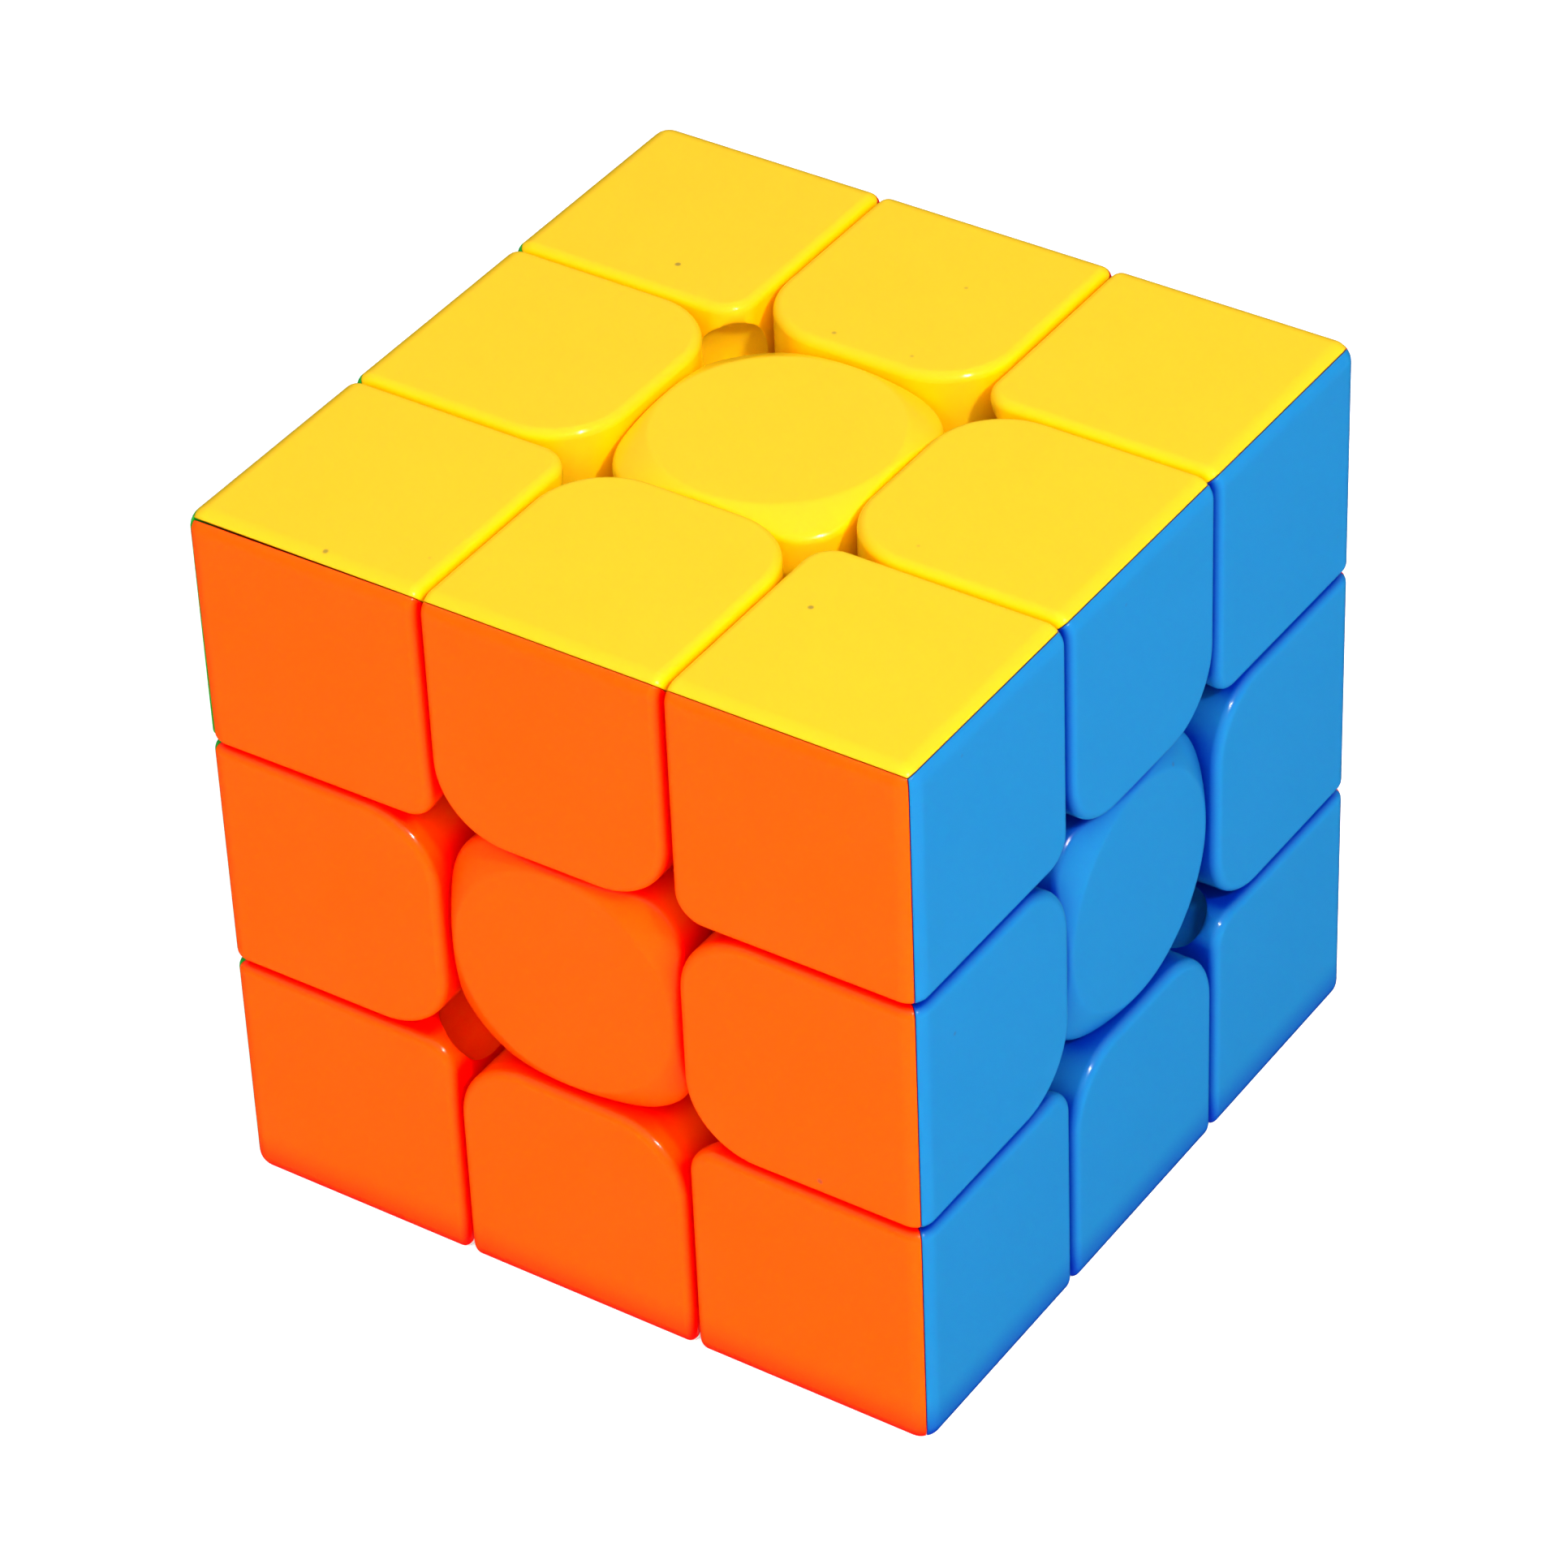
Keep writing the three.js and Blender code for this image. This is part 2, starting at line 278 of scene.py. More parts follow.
def plastic(name, colour, paintedShadeColour):
    # Dyed-through ABS: satin, a little uneven in tone, with a few specks of dust, and with painted shade
    # and bounced light darkening and saturating its crevices
    material, tree, shader = newMaterial(name)
    nodes = tree.nodes
    place = nodes.new("ShaderNodeTexCoord")
    mottle = nodes.new("ShaderNodeTexNoise")
    mottle.inputs["Scale"].default_value = perMetre / plasticFinish["mottleSize"]
    mottle.inputs["Detail"].default_value = 3
    link(tree, place, "Object", mottle, "Vector")
    tone = nodes.new("ShaderNodeValToRGB")
    tone.color_ramp.elements[0].position = 0.2
    tone.color_ramp.elements[1].position = 0.8
    for element, share in zip(tone.color_ramp.elements, (1 - plasticFinish["mottle"], 1)):
        element.color = (*[value * share for value in colour], 1)
    link(tree, mottle, "Fac", tone, "Fac")
    specks = nodes.new("ShaderNodeTexVoronoi")
    specks.inputs["Scale"].default_value = perMetre / plasticFinish["speckSpacing"]
    link(tree, place, "Object", specks, "Vector")
    onSpeck = nodes.new("ShaderNodeMapRange")
    edge = plasticFinish["speckSize"] / plasticFinish["speckSpacing"]
    onSpeck.inputs["From Min"].default_value = edge
    onSpeck.inputs["From Max"].default_value = edge * 2
    onSpeck.inputs["To Min"].default_value = plasticFinish["speckDarkness"]
    onSpeck.inputs["To Max"].default_value = 0
    link(tree, specks, "Distance", onSpeck, "Value")
    dusty = nodes.new("ShaderNodeMixRGB")
    dusty.inputs["Color2"].default_value = dust
    link(tree, onSpeck, "Result", dusty, "Fac")
    link(tree, tone, "Color", dusty, "Color1")
    # Painted shade: where the ambient occlusion node finds little open space, in crevices and gaps, the
    # base colour is swapped for a painted shade colour standing in for shade and bounced light
    shelter = nodes.new("ShaderNodeAmbientOcclusion")
    shelter.samples = 4
    shelter.inputs["Distance"].default_value = plasticFinish["crevice"] / perMetre
    openness = nodes.new("ShaderNodeMapRange")
    openness.inputs["From Min"].default_value = plasticFinish["openness"][0]
    openness.inputs["From Max"].default_value = plasticFinish["openness"][1]
    link(tree, shelter, "AO", openness, "Value")
    deep = nodes.new("ShaderNodeMixRGB")
    deep.inputs["Color1"].default_value = (*paintedShadeColour, 1)
    link(tree, openness, "Result", deep, "Fac")
    link(tree, dusty, "Color", deep, "Color2")
    link(tree, deep, "Color", shader, "Base Color")
    gloss = nodes.new("ShaderNodeMapRange")
    gloss.inputs["To Min"].default_value = plasticFinish["roughness"][0]
    gloss.inputs["To Max"].default_value = plasticFinish["roughness"][1]
    link(tree, mottle, "Fac", gloss, "Value")
    link(tree, gloss, "Result", shader, "Roughness")
    grain = nodes.new("ShaderNodeTexNoise")
    grain.inputs["Scale"].default_value = perMetre / plasticFinish["grainSize"]
    grain.inputs["Detail"].default_value = 2
    link(tree, place, "Object", grain, "Vector")
    soft = nodes.new("ShaderNodeBevel")
    soft.samples = 4
    soft.inputs["Radius"].default_value = plasticFinish["softness"] / perMetre
    bump = nodes.new("ShaderNodeBump")
    link(tree, soft, "Normal", bump, "Normal")
    bump.inputs["Strength"].default_value = plasticFinish["grainStrength"]
    bump.inputs["Distance"].default_value = plasticFinish["grain"] / perMetre
    link(tree, grain, "Fac", bump, "Height")
    link(tree, bump, "Normal", shader, "Normal")
    shader.inputs["IOR"].default_value = plasticFinish["refraction"]
    shader.inputs["Specular IOR Level"].default_value = plasticFinish["shine"]
    shader.inputs["Subsurface Weight"].default_value = plasticFinish["glow"]
    shader.inputs["Subsurface Scale"].default_value = plasticFinish["glowDepth"] / perMetre
    strongest = max(colour)
    reach = [max(value / strongest, plasticFinish["leastGlow"]) for value in colour]
    shader.inputs["Subsurface Radius"].default_value = reach
    return material


# Linear red, green and blue: the plastic's own colour on the faces, then the painted shade and bounced
# light that an ambient occlusion node puts into the crevices
plasticColours = {
    "yellow": [(0.66, 0.405, 0.009), (0.98, 0.5, 0.0)],
    "white": [(0.8, 0.8, 0.78), (0.76, 0.76, 0.73)],
    "orange": [(0.97, 0.08, 0.0), (0.9, 0.001, 0.0)],
    "red": [(0.5, 0.006, 0.01), (0.45, 0.0, 0.001)],
    "green": [(0.025, 0.3, 0.035), (0.0, 0.25, 0.01)],
    "blue": [(0.009, 0.156, 0.365), (0.0, 0.015, 0.27)],
}
plastics = {colour: plastic(colour + "_abs", *mixes) for colour, mixes in plasticColours.items()}
# The core's second colour is its painted crevice shade
corePlastic = plastic("core_nylon", (0.024, 0.025, 0.03), (0.02, 0.021, 0.025))


steelFinish = {"markTone": 0.8, "roughnessSpread": (0.8, 1.3)}     # shares of the colour and roughness


def steel(name, colour, roughness, markSize):
    # Drawn or turned steel with fine marks all over
    material, tree, shader = newMaterial(name)
    nodes = tree.nodes
    place = nodes.new("ShaderNodeTexCoord")
    marks = nodes.new("ShaderNodeTexNoise")
    marks.inputs["Scale"].default_value = perMetre / markSize
    marks.inputs["Detail"].default_value = 4
    link(tree, place, "Object", marks, "Vector")
    tone = nodes.new("ShaderNodeValToRGB")
    for element, share in zip(tone.color_ramp.elements, (steelFinish["markTone"], 1)):
        element.color = (*[value * share for value in colour], 1)
    link(tree, marks, "Fac", tone, "Fac")
    link(tree, tone, "Color", shader, "Base Color")
    gloss = nodes.new("ShaderNodeMapRange")
    gloss.inputs["To Min"].default_value = roughness * steelFinish["roughnessSpread"][0]
    gloss.inputs["To Max"].default_value = roughness * steelFinish["roughnessSpread"][1]
    link(tree, marks, "Fac", gloss, "Value")
    link(tree, gloss, "Result", shader, "Roughness")
    shader.inputs["Metallic"].default_value = 1
    return material


screwSteel = steel("screw_zinc", (0.55, 0.56, 0.58), 0.28, 0.4)
springSteel = steel("spring_wire", (0.43, 0.44, 0.47), 0.33, 0.3)


skinSlack = 0.02             # how far a normal of the outside may lean away


def edgeSkin(normal):
    # The outside of an edge piece looks up, back or between them
    return abs(normal.x) < skinSlack and min(normal.y, normal.z) > -skinSlack


def cornerSkin(normal):
    # The outside of a corner piece looks up, back, right or between them
    return min(normal) > -skinSlack


def rimEdges(mesh, isSkin):
    # Where the outside meets the walls of the gaps, but not the underside
    def isRim(edge):
        normals = [face.normal for face in edge.link_faces]
        oneOutside = [isSkin(normal) for normal in normals].count(True) == 1
        return oneOutside and min(normal.z for normal in normals) > -0.5
    return [edge for edge in mesh.edges if isRim(edge)]


def upright(edge):
    first, second = (vert.co for vert in edge.verts)
    return abs(first.x - second.x) < mergeDistance and abs(first.y - second.y) < mergeDistance


# Where the softening of a seam starts outside the ball, and the least turn in degrees that it softens
seamReach = {"start": 1, "leastTurn": 20}


def softenSeam(mesh, normal, shift):
    # A tiny round along the parting of two shells, outside the ball
    def onSeam(vert):
        return abs(vert.co.dot(normal) - shift) < onPlane
    start = socketRadius + seamReach["start"]
    edges = [
        edge for edge in mesh.edges
        if all(onSeam(vert) and vert.co.length > start for vert in edge.verts)
        and len(edge.link_faces) == 2
        and edge.calc_face_angle(0) > math.radians(seamReach["leastTurn"])
    ]
    rounded(mesh, edges, tiles["seamSoftness"], divisions["seam"])


def edgeShell():
    # The half on the top face of the piece between the top and back faces
    mesh = block((-tileHalf, tileInner, tileInner - tiles["root"]), (tileHalf, half, half))
    inner = [edge for edge in mesh.edges if upright(edge) and edge.verts[0].co.y < tileInner + 1]
    rounded(mesh, inner, tiles["edgeCorner"], divisions["edgeCorner"])
    outer = [
        edge for edge in mesh.edges
        if all(min(vert.co.y, vert.co.z) > half - onPlane for vert in edge.verts)
    ]
    rounded(mesh, outer, tiles["roll"], divisions["roll"])
    rounded(mesh, rimEdges(mesh, edgeSkin), tiles["rim"], divisions["rim"])
    trimmed(mesh, (0, 0, seamShift), (0, 1, -1))
    softenSeam(mesh, Vector((0, -1, 1)), seamShift)
    width = mechanism["footHalf"]
    for side in (1, -1):
        lobe = trimmed(ball(socketRadius), (side * width, 0, 0), (-side, 0, 0))
        mesh = without(mesh, lobe)
    foot = ball(footRadius)
    for point, outward in [((width, 0, 0), (1, 0, 0)), ((-width, 0, 0), (-1, 0, 0)),
                           ((0, footInner, 0), (0, -1, 0)), ((0, 0, seamShift), (0, 1, -1))]:
        trimmed(foot, point, outward)
    mesh = withAdded(mesh, foot)
    mesh = without(mesh, ball(footHollow))
    wall = tiles["wall"]
    wide, narrow, high = tileHalf - wall, width - wall, half - wall
    reach = math.sqrt(((socketRadius + wall) ** 2 - wide ** 2) / 2)
    low = tileInner + wall
    outerHollow = block((-wide, reach, reach), (wide, high, high))
    innerHollow = block((-narrow, low, low), (narrow, high, high))
    return without(mesh, withAdded(outerHollow, innerHollow))


# The relief under a corner tile's inner corner
cornerScoop = {
    "height": 23.1,
    # radius and shift toward the axis; the later ones flare the rim
    "balls": [(3.7, 0), (4.73, 1.83), (6.6, 4.2)],
}


def cornerShell():
    # The top face's third of the piece between the right, back and top faces
    mesh = block((tileInner, tileInner, tileInner - tiles["root"]), (half, half, half))
    inner = [edge for edge in mesh.edges if upright(edge) and max(edge.verts[0].co.xy) < tileInner + 1]
    rounded(mesh, inner, tiles["cornerCorner"], divisions["cornerCorner"])

    def outside(edge):
        middle = (edge.verts[0].co + edge.verts[1].co) / 2
        return [value > half - onPlane for value in middle].count(True) == 2
    outer = [edge for edge in mesh.edges if outside(edge)]
    rounded(mesh, outer, tiles["roll"], divisions["roll"])
    rounded(mesh, rimEdges(mesh, cornerSkin), tiles["rim"], divisions["rim"])
    for normal in (Vector((1, 0, -1)), Vector((0, 1, -1))):
        trimmed(mesh, (0, 0, seamShift), normal)
    for normal in (Vector((-1, 0, 1)), Vector((0, -1, 1))):
        softenSeam(mesh, normal, seamShift)
    for radius, shift in cornerScoop["balls"]:
        scoop = ball(radius, 48)
        across = layerPlane - shift / math.sqrt(2)
        bmesh.ops.translate(scoop, vec=(across, across, cornerScoop["height"]), verts=scoop.verts)
        mesh = without(mesh, scoop)
    foot = ball(footRadius)
    for point, outward in [((footInner, 0, 0), (-1, 0, 0)), ((0, footInner, 0), (0, -1, 0)),
                           ((0, 0, seamShift), (1, 0, -1)), ((0, 0, seamShift), (0, 1, -1))]:
        trimmed(foot, point, outward)
    mesh = withAdded(mesh, foot)
    mesh = without(mesh, ball(footHollow))
    low, high = tileInner + tiles["wall"] + cornerScoop["balls"][0][0], half - tiles["wall"]
    mesh = without(mesh, block((low, low, low), (high, high, high)))
    return mesh


capShape = {
    "disc": 8.4,             # radius of the flat disc
    "crease": 0.4,           # width over which the disc turns into the slope
    "slope": 0.42,
    "bend": 0.06,            # how the slope steepens toward the corners
    "fillet": 0.7,
    "leastCorner": 0.2,      # radius left to the outline's corners however far it is inset
    "seat": 0.05,            # gap to the hub
    "skirtRadius": 6.3,
    "skirtWall": 1.1,
    "footBevel": (0.1, 0.2),     # inward and up, along the bottom edge
    "sides": 144,
}


def outlineReach(angle, inset):
    # How far the rounded square of a centre tile reaches from its axis
    side = tileHalf - inset
    radius = max(tiles["centreCorner"] - inset, capShape["leastCorner"])
    across, along = abs(math.cos(angle)), abs(math.sin(angle))
    middle = side - radius
    if min(across, along) * side <= max(across, along) * middle:
        return side / max(across, along)
    reach = middle * (across + along)
    return reach + math.sqrt(reach * reach - 2 * middle * middle + radius * radius)


def capDrop(reach):
    # How far a cap lies below its disc at this distance from its axis, and its slope there
    past = reach - capShape["disc"]
    crease, slope, bend = capShape["crease"], capShape["slope"], capShape["bend"]
    if past < crease:
        return slope * past * past / (2 * crease), slope * past / crease
    rest = past - crease
    return slope * (crease / 2 + rest) + bend * rest * rest, slope + 2 * bend * rest


def ringsOut(mesh, edges, places):
    # Extrudes a ring of edges again and again, each time to where the next place says
    for place in places:
        made = bmesh.ops.extrude_edge_only(mesh, edges=edges)["geom"]
        edges = [item for item in made if isinstance(item, bmesh.types.BMEdge)]
        for vert in [item for item in made if isinstance(item, bmesh.types.BMVert)]:
            angle = math.atan2(vert.co.y, vert.co.x)
            reach, height = place(angle)
            vert.co = (reach * math.cos(angle), reach * math.sin(angle), height)
    return edges


def capShell():
    fillet = capShape["fillet"]

    def fillStart(angle):
        slope = math.atan(capDrop(outlineReach(angle, fillet / 2))[1])
        reach = outlineReach(angle, fillet * (1 - math.sin(slope)))
        return slope, reach, capHigh - capDrop(reach)[0]

    def onSlope(share):
        def place(angle):
            reach = capShape["disc"] + (fillStart(angle)[1] - capShape["disc"]) * share
            return reach, capHigh - capDrop(reach)[0]
        return place

    def onFillet(share):
        def place(angle):
            slope, reach, height = fillStart(angle)
            turn = slope + (math.pi / 2 - slope) * share
            return (
                outlineReach(angle, fillet * (1 - math.sin(turn))),
                height - fillet * (math.cos(slope) - math.cos(turn)),
            )
        return place

    def onWall(inset, height):
        return lambda angle: (outlineReach(angle, inset), height)

    def onCircle(radius, height):
        return lambda angle: (radius, height)

    bottom = hubHigh + capShape["seat"]
    ceiling = capHigh - tiles["wall"]
    skirt = capShape["skirtRadius"]
    mesh = bmesh.new()
    bmesh.ops.create_circle(mesh, cap_ends=True, radius=capShape["disc"], segments=capShape["sides"])
    bmesh.ops.translate(mesh, vec=(0, 0, capHigh), verts=mesh.verts)
    rings = [onSlope(step / 10) for step in (0.6, 1.3, 2.1, 3, 4, 5.2, 6.6, 8.2, 10)]
    rings += [onFillet(step / 8) for step in range(1, 9)]
    inward, up = capShape["footBevel"]
    rings += [onWall(0, bottom + up), onWall(inward, bottom), onWall(tiles["wall"], bottom)]
    rings += [onWall(tiles["wall"], ceiling), onCircle(skirt, ceiling), onCircle(skirt, capLow)]
    bore = skirt - capShape["skirtWall"]
    rings += [onCircle(bore, capLow), onCircle(bore, ceiling)]
    last = ringsOut(mesh, [edge for edge in mesh.edges if edge.is_boundary], rings)
    bmesh.ops.holes_fill(mesh, edges=last, sides=0)
    return mesh


hubShape = {"well": 4.0, "floor": 1.4, "bore": 1.7, "skirtGap": 0.3}


def hubBody():
    mesh = block((-tileHalf, -tileHalf, layerPlane), (tileHalf, tileHalf, hubHigh))
    rounded(mesh, [edge for edge in mesh.edges if upright(edge)], tiles["centreCorner"], 12)
    mesh = without(mesh, ball(socketRadius))
    mesh = withAdded(mesh, rod(mechanism["footHalf"], hubLow, hubHigh))
    above = hubHigh + overshoot
    mesh = without(mesh, rod(hubShape["well"], hubLow + hubShape["floor"], above))
    skirtGap = hubShape["skirtGap"]
    mesh = without(mesh, rod(capShape["skirtRadius"] + skirtGap, capLow - skirtGap, above))
    return without(mesh, rod(hubShape["bore"], hubLow - overshoot, above))


screwShape = {
    "shank": 1.4, "thread": 0.16, "pitch": 0.6, "threadEnd": 10.2, "head": 2.0, "headSoftness": 0.35,
    "crossWidth": 0.8, "crossLength": 4, "crossDepth": 1.2,
}


def spun(points, sides=64):
    # A round body from its half outline of (radius, height) points, which starts and ends on the axis
    mesh = bmesh.new()
    verts = [mesh.verts.new((radius, 0, height)) for radius, height in points]
    for first, second in zip(verts, verts[1:]):
        mesh.edges.new((first, second))
    bmesh.ops.spin(
        mesh, geom=mesh.verts[:] + mesh.edges[:], cent=(0, 0, 0), axis=(0, 0, 1),
        angle=2 * math.pi, steps=sides, use_merge=True,
    )
    bmesh.ops.remove_doubles(mesh, verts=mesh.verts, dist=mergeDistance)
    bmesh.ops.recalc_face_normals(mesh, faces=mesh.faces)
    return mesh


def screwBody():
    shank, thread, pitch = screwShape["shank"], screwShape["thread"], screwShape["pitch"]
    under = screwHigh - screwShape["head"]
    soft = screwShape["headSoftness"]
    points = [(0, screwLow), (shank - thread, screwLow + shank)]
    turns = int((screwShape["threadEnd"] - screwLow - shank) / pitch)
    for turn in range(turns):
        foot = screwLow + shank + turn * pitch
        points += [(shank, foot + pitch / 2), (shank - thread, foot + pitch)]
    points += [(shank - thread, under), (headRadius, under), (headRadius, screwHigh - soft)]
    halfway = soft * 0.3
    points += [(headRadius - halfway, screwHigh - halfway), (headRadius - soft, screwHigh)]
    points += [(0, screwHigh)]
    mesh = spun(points, 48)
    long, wide = screwShape["crossLength"] / 2, screwShape["crossWidth"] / 2
    deep = screwHigh - screwShape["crossDepth"]
    above = screwHigh + overshoot
    mesh = without(mesh, block((-long, -wide, deep), (long, wide, above)))
    return without(mesh, block((-wide, -long, deep), (wide, long, above)))


# "inset" is from the screw head's rim, "travel" how far the centre can float
springShape = {"wire": 0.4, "turns": 4.5, "steps": 40, "inset": 0.1, "travel": 0.5}


def springCoil():
    wire = springShape["wire"]
    radius = headRadius - springShape["inset"] - wire
    mesh = bmesh.new()
    bmesh.ops.create_circle(mesh, radius=wire, segments=14)
    upended = Matrix.Rotation(math.pi / 2, 3, "X")
    bmesh.ops.rotate(mesh, cent=(0, 0, 0), matrix=upended, verts=mesh.verts)
    bmesh.ops.translate(mesh, vec=(radius, 0, springLow + wire), verts=mesh.verts)
    steps = int(springShape["turns"] * springShape["steps"])
    rise = springHigh - springLow - 2 * wire
    bmesh.ops.spin(
        mesh, geom=mesh.verts[:] + mesh.edges[:], cent=(0, 0, 0), axis=(0, 0, 1),
        angle=2 * math.pi * springShape["turns"], steps=steps, dvec=(0, 0, rise / steps),
    )
    bmesh.ops.holes_fill(mesh, edges=[edge for edge in mesh.edges if edge.is_boundary], sides=0)
    return mesh


washerShape = {"rimInset": 0.05, "boreGap": 0.2, "faceGap": 0.03}


def washerRing():
    faceGap = washerShape["faceGap"]
    outer = headRadius - washerShape["rimInset"]
    inner = screwShape["shank"] + washerShape["boreGap"]
    low, high = springHigh + faceGap, screwHigh - screwShape["head"] - faceGap
    return without(rod(outer, low, high), rod(inner, low - overshoot, high + overshoot))


coreShape = {
    "ball": 6, "arm": 4.2, "armStart": 0.5, "armSoftness": 0.4, "hole": 1.7, "holeBottom": 3.9,
}


def coreBody():
    mesh = ball(coreShape["ball"], 64)
    for face in faces:
        arm = rod(coreShape["arm"], coreShape["armStart"], armEnd, 48)
        softEnd = [
            edge for edge in arm.edges
            if all(vert.co.z > armEnd - onPlane for vert in edge.verts)
        ]
        rounded(arm, softEnd, coreShape["armSoftness"], 3)
        bmesh.ops.transform(arm, matrix=face["turn"], verts=arm.verts)
        mesh = withAdded(mesh, arm)
    for face in faces:
        hole = rod(coreShape["hole"], coreShape["holeBottom"], armEnd + overshoot, 32)
        bmesh.ops.transform(hole, matrix=face["turn"], verts=hole.verts)
        mesh = without(mesh, hole)
    return mesh


def faceToward(direction):
    return next(face for face in faces if (face["turn"] @ Vector((0, 0, 1))).dot(direction) > 0.9)


def joinedName(chosen):
    return "_".join(face["name"] for face in faces if face in chosen)


def bodyOf(node):
    return frame["nodes"][node]["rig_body"]


# One shell sits a little askew, so that its seam is open at one end; degrees about its tile's end
looseSeat = {"shell": "corner_top_front_left_orange", "turn": 0.45}


def placeShells():
    edgeMesh, cornerMesh = edgeShell(), cornerShell()
    print("shells modelled:", len(edgeMesh.faces), "and", len(cornerMesh.faces), "faces")
    for face in faces:
        colour = face["colour"]
        for quarter in range(4):
            place = face["turn"] @ Matrix.Rotation(quarter * math.pi / 2, 4, "Z")
            right, back = (faceToward(place @ Vector(way)) for way in ((1, 0, 0), (0, 1, 0)))
            edgeNode = "edge_" + joinedName([face, back]) + "_" + colour
            cornerNode = "corner_" + joinedName([face, back, right])
            piece(edgeNode + "_shell", edgeMesh, place, plastics[colour],
                  bodyOf(edgeNode), edgeNode)
            shell = cornerNode + "_" + colour
            seat = Matrix.Identity(4)
            if shell == looseSeat["shell"]:
                hinge = Matrix.Translation((half, layerPlane, 0))
                turn = Matrix.Rotation(math.radians(looseSeat["turn"]), 4, "Z")
                seat = hinge @ turn @ hinge.inverted()
            piece(shell + "_shell", cornerMesh, place @ seat, plastics[colour],
                  bodyOf(cornerNode), cornerNode)


def placeCentres():
    capMesh, hubMesh = capShell(), hubBody()
    screwMesh, springMesh, washerMesh = screwBody(), springCoil(), washerRing()
    for face in faces:
        name, colour, place = face["name"], face["colour"], face["turn"]
        piece("cap_" + name + "_shell", capMesh, place, plastics[colour],
              bodyOf("cap_" + name), "cap_" + name)
        piece("hub_" + name + "_body", hubMesh, place, plastics[colour],
              bodyOf("hub_" + name), "hub_" + name)
        piece("screw_" + name + "_body", screwMesh, place, screwSteel,
              bodyOf("screw_" + name), "screw_" + name)
        piece("washer_" + name, washerMesh, place, screwSteel,
              bodyOf("screw_" + name), None)
        coil = piece("spring_" + name + "_coil", springMesh, place, springSteel,
                     bodyOf("spring_" + name), "spring_" + name)
        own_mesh(coil)
    print("centres placed")


placeShells()
placeCentres()
piece("core_body", coreBody(), Matrix.Identity(4), corePlastic, bodyOf("core"), "core")
print("core placed")


floorShape = {
    "radius": 12,            # metres
    "clearance": 2e-5,       # below the bottom tiles
    "tones": (0.86, 0.88),
    "cloud": 3,
    "roughness": 0.9,
    "glow": 0.3,             # it is a lit white table
}


def floor():
    mesh = bmesh.new()
    bmesh.ops.create_circle(mesh, cap_ends=True, radius=floorShape["radius"], segments=96)
    made = looseObject("floor", mesh)
    made.location.z = cadBox[0][2] - floorShape["clearance"]
    material, tree, shader = newMaterial("pale_floor")
    place = tree.nodes.new("ShaderNodeTexCoord")
    cloud = tree.nodes.new("ShaderNodeTexNoise")
    cloud.inputs["Scale"].default_value = floorShape["cloud"]
    tone = tree.nodes.new("ShaderNodeValToRGB")
    for element, level in zip(tone.color_ramp.elements, floorShape["tones"]):
        element.color = (level, level, level, 1)
    link(tree, place, "Object", cloud, "Vector")
    link(tree, cloud, "Fac", tone, "Fac")
    link(tree, tone, "Color", shader, "Base Color")
    shader.inputs["Roughness"].default_value = floorShape["roughness"]
    shader.inputs["Emission Color"].default_value = (1, 1, 1, 1)
    shader.inputs["Emission Strength"].default_value = floorShape["glow"]
    made.data.materials.append(material)
    made.visible_glossy = False


studio = {
    # brightness of the studio from straight down, past the horizon, to straight up
    "sky": [(0, 0.04), (0.3, 0.03), (0.46, 0.03), (0.56, 0.08), (0.75, 0.3), (1, 0.6)],
    "lamps": [
        # name, direction from the cube, distance, size, power, and whether it shines in the gloss
        ("key", (0.643, -0.283, 0.708), 0.6, 0.05, 3.0, True),
        ("frontFill", (0.451, -0.653, 0.608), 0.9, 0.8, 8.2, False),
        ("leftFill", (-0.7, -0.6, 0.4), 0.9, 0.8, 1.3, False),
        ("rightFill", (0.95, 0.1, 0.3), 0.9, 0.8, 1.5, False),
        ("topFill", (-0.2, 0.1, 1), 0.9, 0.9, 1.3, False),
        ("backFill", (-0.65, 0.65, 0.4), 0.9, 0.8, 2.2, False),
    ],
}


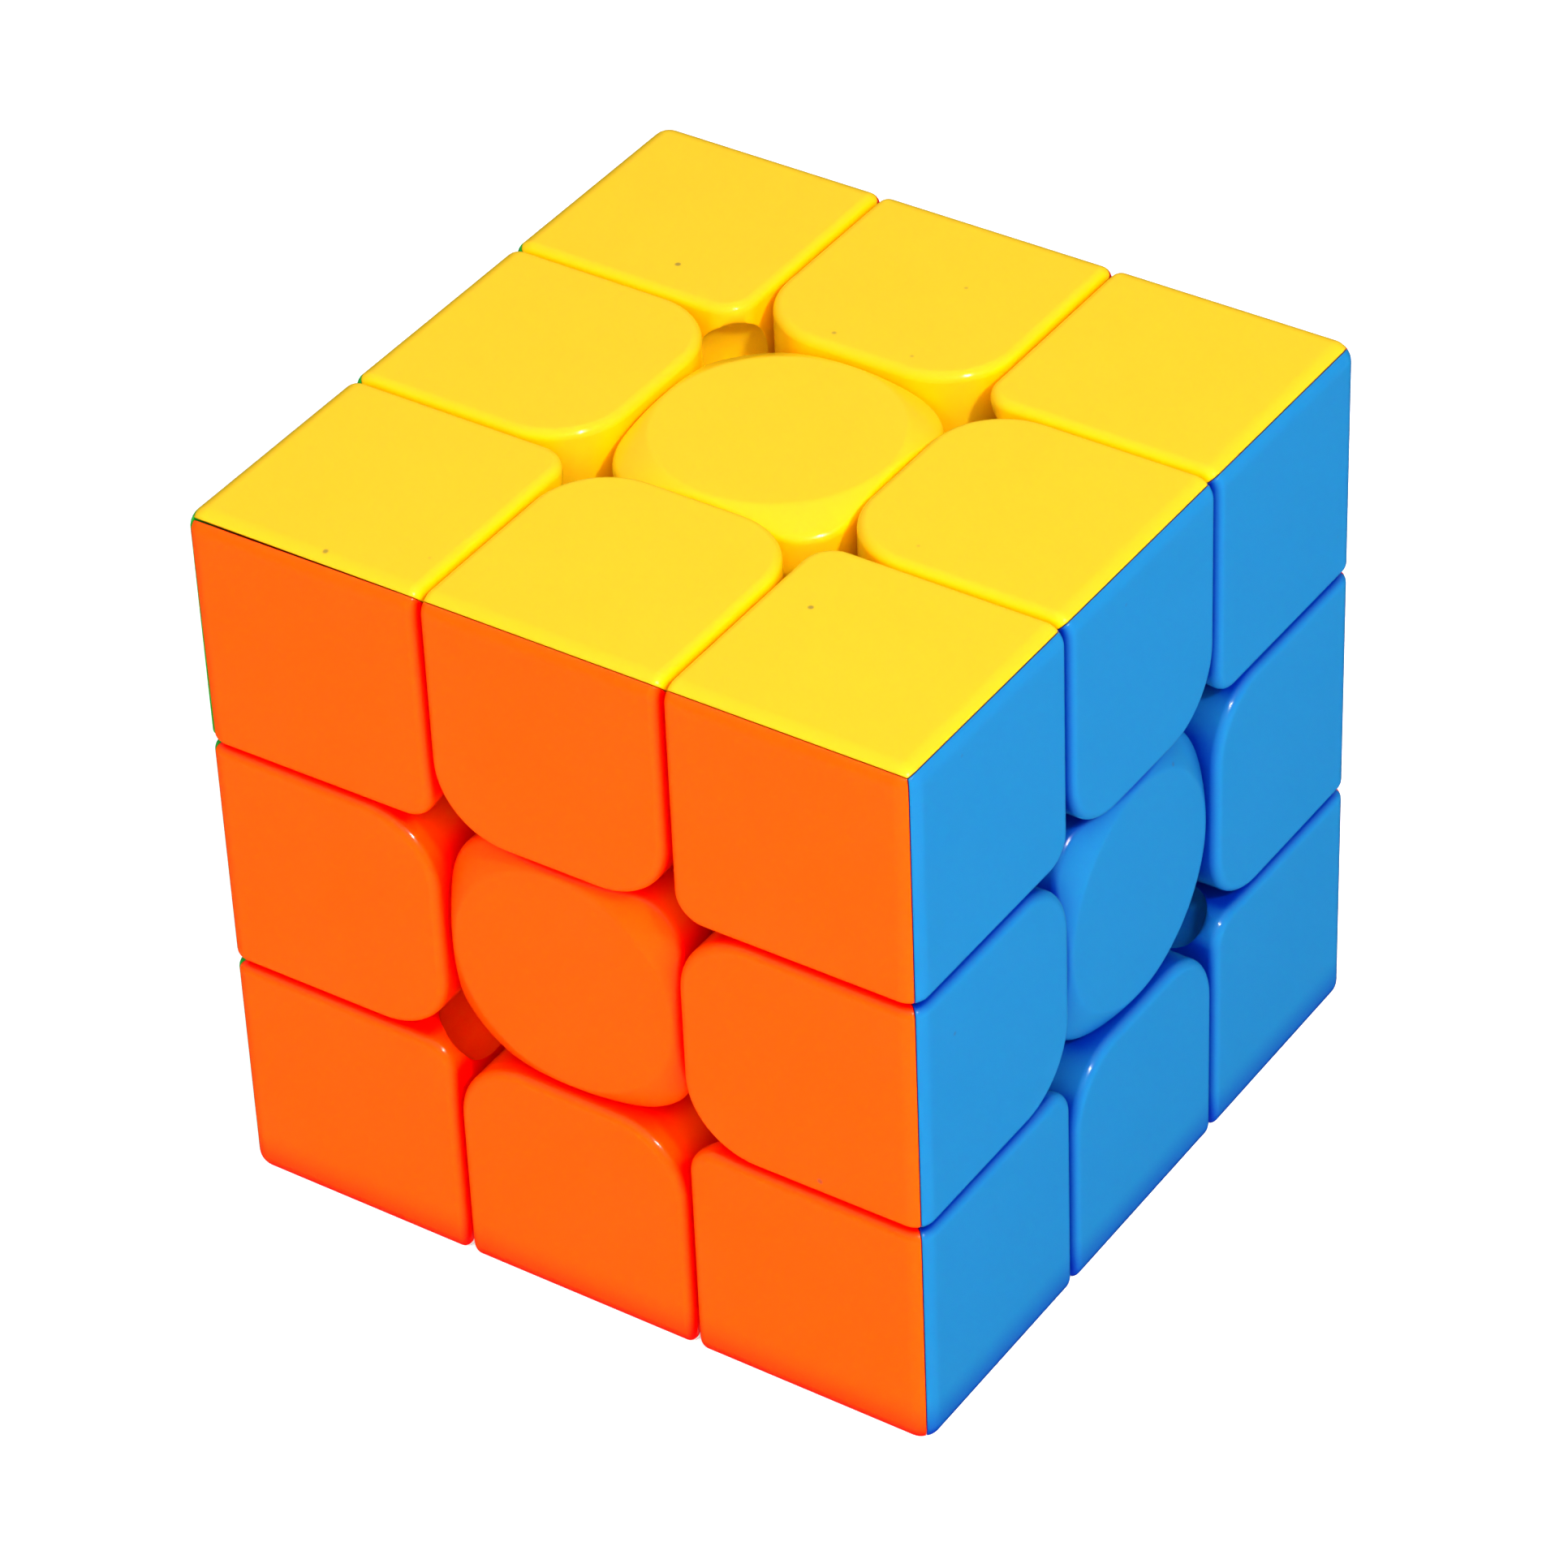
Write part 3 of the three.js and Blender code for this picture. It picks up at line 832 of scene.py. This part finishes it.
def light():
    world = bpy.data.worlds.new("studio")
    bpy.context.scene.world = world
    world.use_nodes = True
    tree = world.node_tree
    background = tree.nodes["Background"]
    sight = tree.nodes.new("ShaderNodeTexCoord")
    parts = tree.nodes.new("ShaderNodeSeparateXYZ")
    height = tree.nodes.new("ShaderNodeMapRange")
    height.inputs["From Min"].default_value = -1
    ramp = tree.nodes.new("ShaderNodeFloatCurve")
    curve = ramp.mapping.curves[0]
    ramp.mapping.clip_max_y = 2
    ramp.mapping.use_clip = True
    for point, (place, level) in zip(curve.points, (studio["sky"][0], studio["sky"][-1])):
        point.location = (place, level)
    for place, level in studio["sky"][1:-1]:
        curve.points.new(place, level)
    ramp.mapping.update()
    link(tree, sight, "Generated", parts, "Vector")
    link(tree, parts, "Z", height, "Value")
    link(tree, height, "Result", ramp, "Value")
    link(tree, ramp, "Value", background, "Strength")
    background.inputs["Color"].default_value = (1, 1, 1, 1)
    for name, way, distance, size, power, shines in studio["lamps"]:
        lamp = bpy.data.lights.new(name, "AREA")
        lamp.shape = "DISK"
        lamp.size = size
        lamp.energy = power
        made = bpy.data.objects.new(name, lamp)
        bpy.context.scene.collection.objects.link(made)
        made.visible_glossy = shines
        made.location = Vector(way).normalized() * distance
        made.rotation_euler = Vector(way).to_track_quat("Z", "Y").to_euler()


view = {
    "azimuth": 34.67,        # degrees, as are the next two
    "elevation": 37.44,
    "roll": -2.49,
    "distance": 0.4328,      # metres from the aim
    "aim": (0, -0.00105, -0.0011),
    "lens": 145.5,           # millimetres, as is the sensor
    "sensor": 36,
    "nearest": 0.01,
}


def camera():
    data = bpy.data.cameras.new("camera")
    data.lens = view["lens"]
    data.sensor_width = view["sensor"]
    data.clip_start = view["nearest"]
    made = bpy.data.objects.new("camera", data)
    bpy.context.scene.collection.objects.link(made)
    across, up = math.radians(view["azimuth"]), math.radians(view["elevation"])
    way = Vector((math.cos(up) * math.sin(across), -math.cos(up) * math.cos(across), math.sin(up)))
    turn = way.to_track_quat("Z", "Y").to_matrix().to_4x4()
    roll = Matrix.Rotation(math.radians(view["roll"]), 4, "Z")
    made.matrix_world = Matrix.Translation(Vector(view["aim"]) + way * view["distance"]) @ turn @ roll
    bpy.context.scene.camera = made


floor()
light()
camera()
bpy.context.scene.view_settings.view_transform = "Standard"
print("studio ready")
